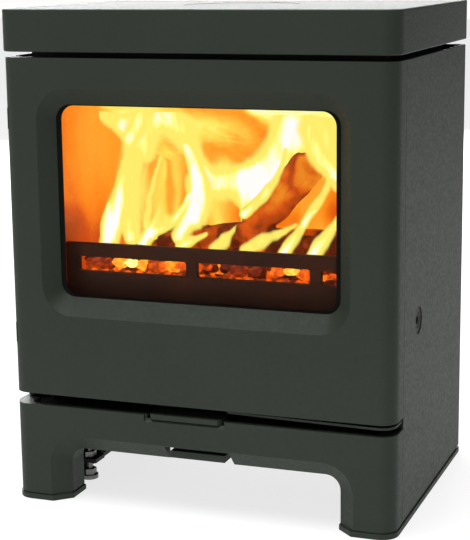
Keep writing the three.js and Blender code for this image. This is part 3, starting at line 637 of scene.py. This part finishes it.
def flame_curtain(strokes, shadows):
    """A rippled sheet of burning gas, up the rear brick and forward under the slope of the throat plate."""
    columns, rows = 110, 80
    low, rear = GRATE_TOP + 0.012, BRICK_LOW.y - 0.012
    bend = BAFFLE_LOW.z - 0.016
    front, slope_top = BAFFLE_LOW.y + 0.012, BAFFLE_HIGH.z - 0.038
    points, flat = [], []
    for row in range(rows):
        share = row / (rows - 1)
        up, forward = min(share / 0.5, 1), max(share / 0.5 - 1, 0)
        y = rear + (front - rear) * forward
        z = low + (bend - low) * up + (slope_top - bend) * forward
        for column in range(columns):
            x = FIRE_HALF_WIDTH * (2 * column / (columns - 1) - 1) * 0.985
            ripple = 0.0045 * abs(noise.noise(Vector((x * 30, z * 9, 3.0))))
            points.append((x, y - ripple, z - ripple * 0.4))
            flat.append((x, z))
    faces = [
        (a, a + 1, a + columns + 1, a + columns)
        for row in range(rows - 1)
        for a in range(row * columns, row * columns + columns - 1)
    ]
    piece = mesh_piece("fire_curtain", points, faces, CURTAIN)
    warmth = CURTAIN_HEAT + (1 - CURTAIN_HEAT) * heat_field(flat, strokes)
    warmth -= SHADOW_DEPTH * heat_field(flat, shadows)
    point_values(piece, "warmth", warmth.tolist())
    solid = piece.modifiers.new("thickness", "SOLIDIFY")
    solid.thickness = 0.0012
    solid.offset = 1.0
    return piece


STROKE_STEPS = 40
STROKE_CORE, STROKE_REACH = 0.2, 2.3  # in half widths: hottest within the first, cold beyond the second
CURTAIN_HEAT = 0.57
SHADOW_DEPTH = 0.22
WOOD, EMBER = burning_wood(), ember_glow()
FLAME = burning_gas("flame_gas", flicker=0.09, solid=False)
CURTAIN = burning_gas("fire_curtain", flicker=0.035, solid=True)

BED_FLOOR = GRATE_TOP + 0.0165
BEHIND_GUARD = GUARD_LOW.y + 0.025
EMBER_LINE = GUARD_LOW.y + 0.013
draw = random.Random(11)


def ember_cluster(middle, spread, count, heat, draw):
    """Lumps side by side behind the guard's slots, hottest in the middle of the cluster."""
    lumps = []
    for i in range(count):
        across = 2 * i / max(count - 1, 1) - 1
        place = (middle + spread * across, BEHIND_GUARD, SLOT_MIDDLE + draw.uniform(-0.003, 0.003))
        size = draw.uniform(*LUMP_SIZE)
        lumps.append((place, size, heat * (1 - CLUSTER_FADE * abs(across)) * draw.uniform(0.85, 1.0)))
    return lumps


SLOT_MIDDLE = 0.289
LUMP_SIZE = (0.007, 0.010)
CLUSTER_FADE = 0.35  # how much cooler the lumps at a cluster's ends are
ember_bed("embers_hot", ember_cluster(-0.108, 0.016, 3, 0.95, draw), draw)
ember_bed("embers_warm_left", ember_cluster(-0.055, 0.026, 5, 0.55, draw), draw)
ember_bed("embers_dull_left", ember_cluster(-0.150, 0.010, 2, 0.42, draw), draw)
ember_bed("embers_warm_right", ember_cluster(0.095, 0.018, 3, 0.72, draw), draw)
ember_bed("embers_dull_right", ember_cluster(0.040, 0.010, 2, 0.40, draw), draw)
ember_bed(
    "embers_front",
    scattered(80, (-0.172, 0.125), (-0.110, -0.095), (BED_FLOOR, 0.300), (0.02, 0.36), draw),
    draw,
)
ember_bed(
    "embers_small",
    [
        ((-0.162 + 0.0075 * i, EMBER_LINE, 0.2795), 0.0040, draw.uniform(0.18, 0.42))
        for i in range(38)
    ],
    draw,
)
ember_bed(
    "embers_rear",
    scattered(90, (-0.165, 0.165), (-0.085, 0.07), (BED_FLOOR, 0.279), (0.05, 0.6), draw),
    draw,
)

burning_log("log_leaning", (0.020, -0.048, 0.330), (0.096, -0.036, 0.412), 0.0235, seed=1.0)
burning_log("log_low_left", (-0.100, -0.052, 0.303), (-0.030, -0.045, 0.318), 0.014, seed=2.2)
burning_log("log_low_middle", (-0.045, -0.050, 0.312), (0.055, -0.055, 0.326), 0.015, seed=3.0)
burning_log("log_low_right", (0.030, -0.055, 0.301), (0.166, -0.048, 0.307), 0.018, seed=4.1)
burning_log("log_back", (-0.130, 0.045, 0.285), (0.140, 0.040, 0.290), 0.024, seed=5.3)

# Each stroke of flame runs up its middle: x, z, half width and heat.
TONGUE_SWELL, TONGUE_COOLING = 0.35, 0.22


def tongue(foot, tip, bow, foot_width, tip_width, heat):
    """A flame's stroke from foot to tip (x, z), bowed sideways, swelling before it tapers to the tip."""
    stroke = []
    for share in (0.0, 0.35, 0.7, 1.0):
        x = foot[0] + (tip[0] - foot[0]) * share + bow * math.sin(math.pi * share)
        z = foot[1] + (tip[1] - foot[1]) * share
        swell = 1 + TONGUE_SWELL * math.sin(math.pi * min(share * 1.4, 1.0))
        width = (foot_width + (tip_width - foot_width) * share) * swell
        stroke.append((x, z, width, heat * (1 - TONGUE_COOLING * share)))
    return stroke


# each flame: foot, tip, bow, half width at the foot and at the tip, heat
CURTAIN_STROKES = [
    tongue((-0.15, 0.46), (-0.01, 0.44), 0.0, 0.016, 0.016, 0.6),
    tongue((-0.15, 0.30), (-0.135, 0.40), 0.0, 0.015, 0.015, 0.5),
    tongue((0.03, 0.475), (0.15, 0.46), 0.0, 0.010, 0.030, 0.8),
    tongue((-0.07, 0.30), (-0.06, 0.39), -0.01, 0.008, 0.010, 0.35),
    tongue((0.14, 0.30), (0.165, 0.42), 0.0, 0.014, 0.024, 0.6),
]
CURTAIN_SHADOWS = [
    tongue((-0.14, 0.32), (-0.14, 0.39), 0.0, 0.004, 0.003, 0.8),
    tongue((-0.12, 0.33), (-0.105, 0.395), 0.0, 0.005, 0.004, 0.7),
    tongue((-0.01, 0.435), (0.03, 0.43), 0.0, 0.016, 0.010, 0.5),
    tongue((-0.03, 0.32), (0.03, 0.315), 0.0, 0.012, 0.010, 0.7),
    tongue((0.09, 0.33), (0.12, 0.34), 0.0, 0.014, 0.015, 0.8),
]
REAR_STROKES = [
    tongue((-0.15, 0.30), (-0.12, 0.47), -0.010, 0.009, 0.018, 0.84),
    tongue((-0.14, 0.445), (-0.20, 0.47), 0.0, 0.010, 0.003, 0.86),
    tongue((-0.115, 0.47), (-0.12, 0.41), 0.0, 0.017, 0.006, 0.84),
    tongue((-0.085, 0.465), (-0.035, 0.38), 0.0, 0.015, 0.003, 0.86),
    tongue((-0.055, 0.375), (0.035, 0.39), 0.0, 0.013, 0.014, 1.0),
    tongue((0.02, 0.385), (0.065, 0.455), 0.012, 0.014, 0.014, 1.0),
    tongue((0.005, 0.38), (0.0, 0.33), 0.0, 0.011, 0.001, 0.90),
    tongue((0.02, 0.36), (0.065, 0.40), 0.0, 0.009, 0.009, 0.90),
    tongue((0.065, 0.44), (0.11, 0.465), 0.0, 0.013, 0.022, 0.90),
    tongue((0.09, 0.445), (0.125, 0.385), 0.005, 0.017, 0.008, 0.90),
]
FRONT_STROKES = [
    tongue((-0.155, 0.305), (-0.12, 0.44), 0.004, 0.009, 0.004, 1.0),
    tongue((-0.12, 0.44), (-0.10, 0.475), 0.0, 0.008, 0.011, 0.95),
    tongue((-0.155, 0.32), (-0.15, 0.355), -0.003, 0.006, 0.002, 0.82),
    tongue((-0.105, 0.33), (-0.08, 0.415), -0.002, 0.003, 0.002, 0.8),
    tongue((-0.11, 0.305), (-0.085, 0.355), 0.003, 0.006, 0.001, 1.0),
    tongue((-0.095, 0.32), (-0.045, 0.37), 0.008, 0.004, 0.002, 0.92),
    tongue((-0.06, 0.32), (-0.055, 0.445), 0.025, 0.008, 0.003, 0.95),
    tongue((-0.035, 0.345), (-0.045, 0.43), 0.010, 0.010, 0.005, 1.0),
    tongue((0.025, 0.35), (0.08, 0.43), 0.010, 0.004, 0.002, 0.9),
    tongue((0.10, 0.34), (0.135, 0.40), 0.0, 0.003, 0.004, 0.8),
    tongue((0.14, 0.40), (0.11, 0.455), -0.005, 0.006, 0.012, 1.0),
    tongue((-0.06, 0.305), (-0.025, 0.325), 0.0, 0.004, 0.002, 0.9),
    tongue((-0.015, 0.305), (0.015, 0.335), 0.003, 0.006, 0.001, 0.84),
    tongue((0.025, 0.305), (0.09, 0.34), 0.0, 0.006, 0.002, 0.8),
    tongue((0.075, 0.305), (0.115, 0.36), 0.0, 0.005, 0.001, 1.0),
    tongue((0.11, 0.30), (0.155, 0.365), 0.0, 0.005, 0.003, 1.0),
]
flame_curtain(CURTAIN_STROKES, CURTAIN_SHADOWS)
flame_sheet("flames_rear", -0.010, -0.040, REAR_STROKES)
flame_sheet("flames_front", -0.078, -0.086, FRONT_STROKES)


# ---------------------------------------------------------------- studio

CAMERA_PLACE = Vector((0.6491, -1.8011, 0.6538))
CAMERA_YAW, CAMERA_PITCH, CAMERA_ROLL = (math.radians(angle) for angle in (20.340, 11.501, -0.694))
CAMERA_LENS = 102.64


def camera():
    sin, cos = math.sin, math.cos
    yaw, pitch, roll = CAMERA_YAW, CAMERA_PITCH, CAMERA_ROLL
    forward = Vector((-sin(yaw) * cos(pitch), cos(yaw) * cos(pitch), -sin(pitch)))
    level = Vector((cos(yaw), sin(yaw), 0))
    above = level.cross(forward)
    right = cos(roll) * level + sin(roll) * above
    up = -sin(roll) * level + cos(roll) * above
    data = bpy.data.cameras.new("camera")
    data.lens = CAMERA_LENS
    data.sensor_width = 36.0
    data.clip_end = 60.0
    made = bpy.data.objects.new("camera", data)
    bpy.context.scene.collection.objects.link(made)
    turn = Matrix((right, up, -forward)).transposed().to_4x4()
    made.matrix_world = Matrix.Translation(CAMERA_PLACE) @ turn
    bpy.context.scene.camera = made


def softbox(name, place, aim, width, height, power, colour=(1.0, 1.0, 1.0)):
    data = bpy.data.lights.new(name, "AREA")
    data.shape = "RECTANGLE"
    data.size, data.size_y = width, height
    data.energy = power
    data.color = colour
    made = bpy.data.objects.new(name, data)
    bpy.context.scene.collection.objects.link(made)
    made.location = place
    made.rotation_euler = (Vector(aim) - Vector(place)).to_track_quat("-Z", "Y").to_euler()


def floor():
    look = Look("studio_floor", Roughness=0.9, Specular_IOR_Level=0.1, Emission_Strength=0.76)
    drift = look.noise(1.5, detail=2.0)
    look.set(Base_Color=look.ramp(drift, [(0.3, (0.30, 0.30, 0.30)), (0.7, (0.32, 0.32, 0.32))]))
    look.set(Emission_Color=(1.0, 1.0, 1.0, 1.0))
    reach = 14.0
    level = CAD_BOX[0].z - 0.0003
    mesh = bpy.data.meshes.new("floor")
    corners = [(-reach, -reach), (reach, -reach), (reach, reach), (-reach, reach)]
    mesh.from_pydata([(x, y, level) for x, y in corners], [], [(0, 1, 2, 3)])
    dress(new_object("floor", mesh), look.material)


def world():
    made = bpy.data.worlds.new("studio")
    bpy.context.scene.world = made
    made.use_nodes = True
    tree = made.node_tree
    tree.nodes.clear()
    seen = tree.nodes.new("ShaderNodeBackground")
    seen.inputs["Color"].default_value = (1.0, 1.0, 1.0, 1.0)
    lighting = tree.nodes.new("ShaderNodeBackground")
    lighting.inputs["Color"].default_value = (0.95, 0.98, 1.0, 1.0)
    sky = tree.nodes.new("ShaderNodeTexCoord").outputs["Generated"]
    across = tree.nodes.new("ShaderNodeSeparateXYZ")
    dimmer = tree.nodes.new("ShaderNodeMapRange")
    tree.links.new(sky, across.inputs[0])
    tree.links.new(across.outputs["X"], dimmer.inputs["Value"])
    for name, number in (("From Min", -0.5), ("From Max", 0.5), ("To Min", 0.35), ("To Max", 0.09)):
        dimmer.inputs[name].default_value = number
    tree.links.new(dimmer.outputs["Result"], lighting.inputs["Strength"])
    rays = tree.nodes.new("ShaderNodeLightPath")
    choice = tree.nodes.new("ShaderNodeMixShader")
    output = tree.nodes.new("ShaderNodeOutputWorld")
    tree.links.new(rays.outputs["Is Camera Ray"], choice.inputs["Fac"])
    tree.links.new(lighting.outputs["Background"], choice.inputs[1])
    tree.links.new(seen.outputs["Background"], choice.inputs[2])
    tree.links.new(choice.outputs["Shader"], output.inputs["Surface"])


camera()
world()
floor()
softbox("rear_strip", (-1.6, 3.4, 0.9), (0.0, 0.0, 0.6), 3.4, 1.2, 205)
softbox("top_softbox", (-0.2, -0.6, 3.2), (0.0, 0.0, 0.5), 2.6, 2.6, 130)
softbox("front_left_softbox", (-1.2, -3.0, 1.4), (0.0, 0.0, 0.3), 1.6, 2.0, 6)
softbox("arch_fill", (0.1, -0.75, 0.03), (0.0, -0.19, 0.06), 0.8, 0.06, 0.4)

scene = bpy.context.scene
scene.view_settings.view_transform = "Standard"
scene.view_settings.look = "None"
scene.cycles.transparent_max_bounces = 32
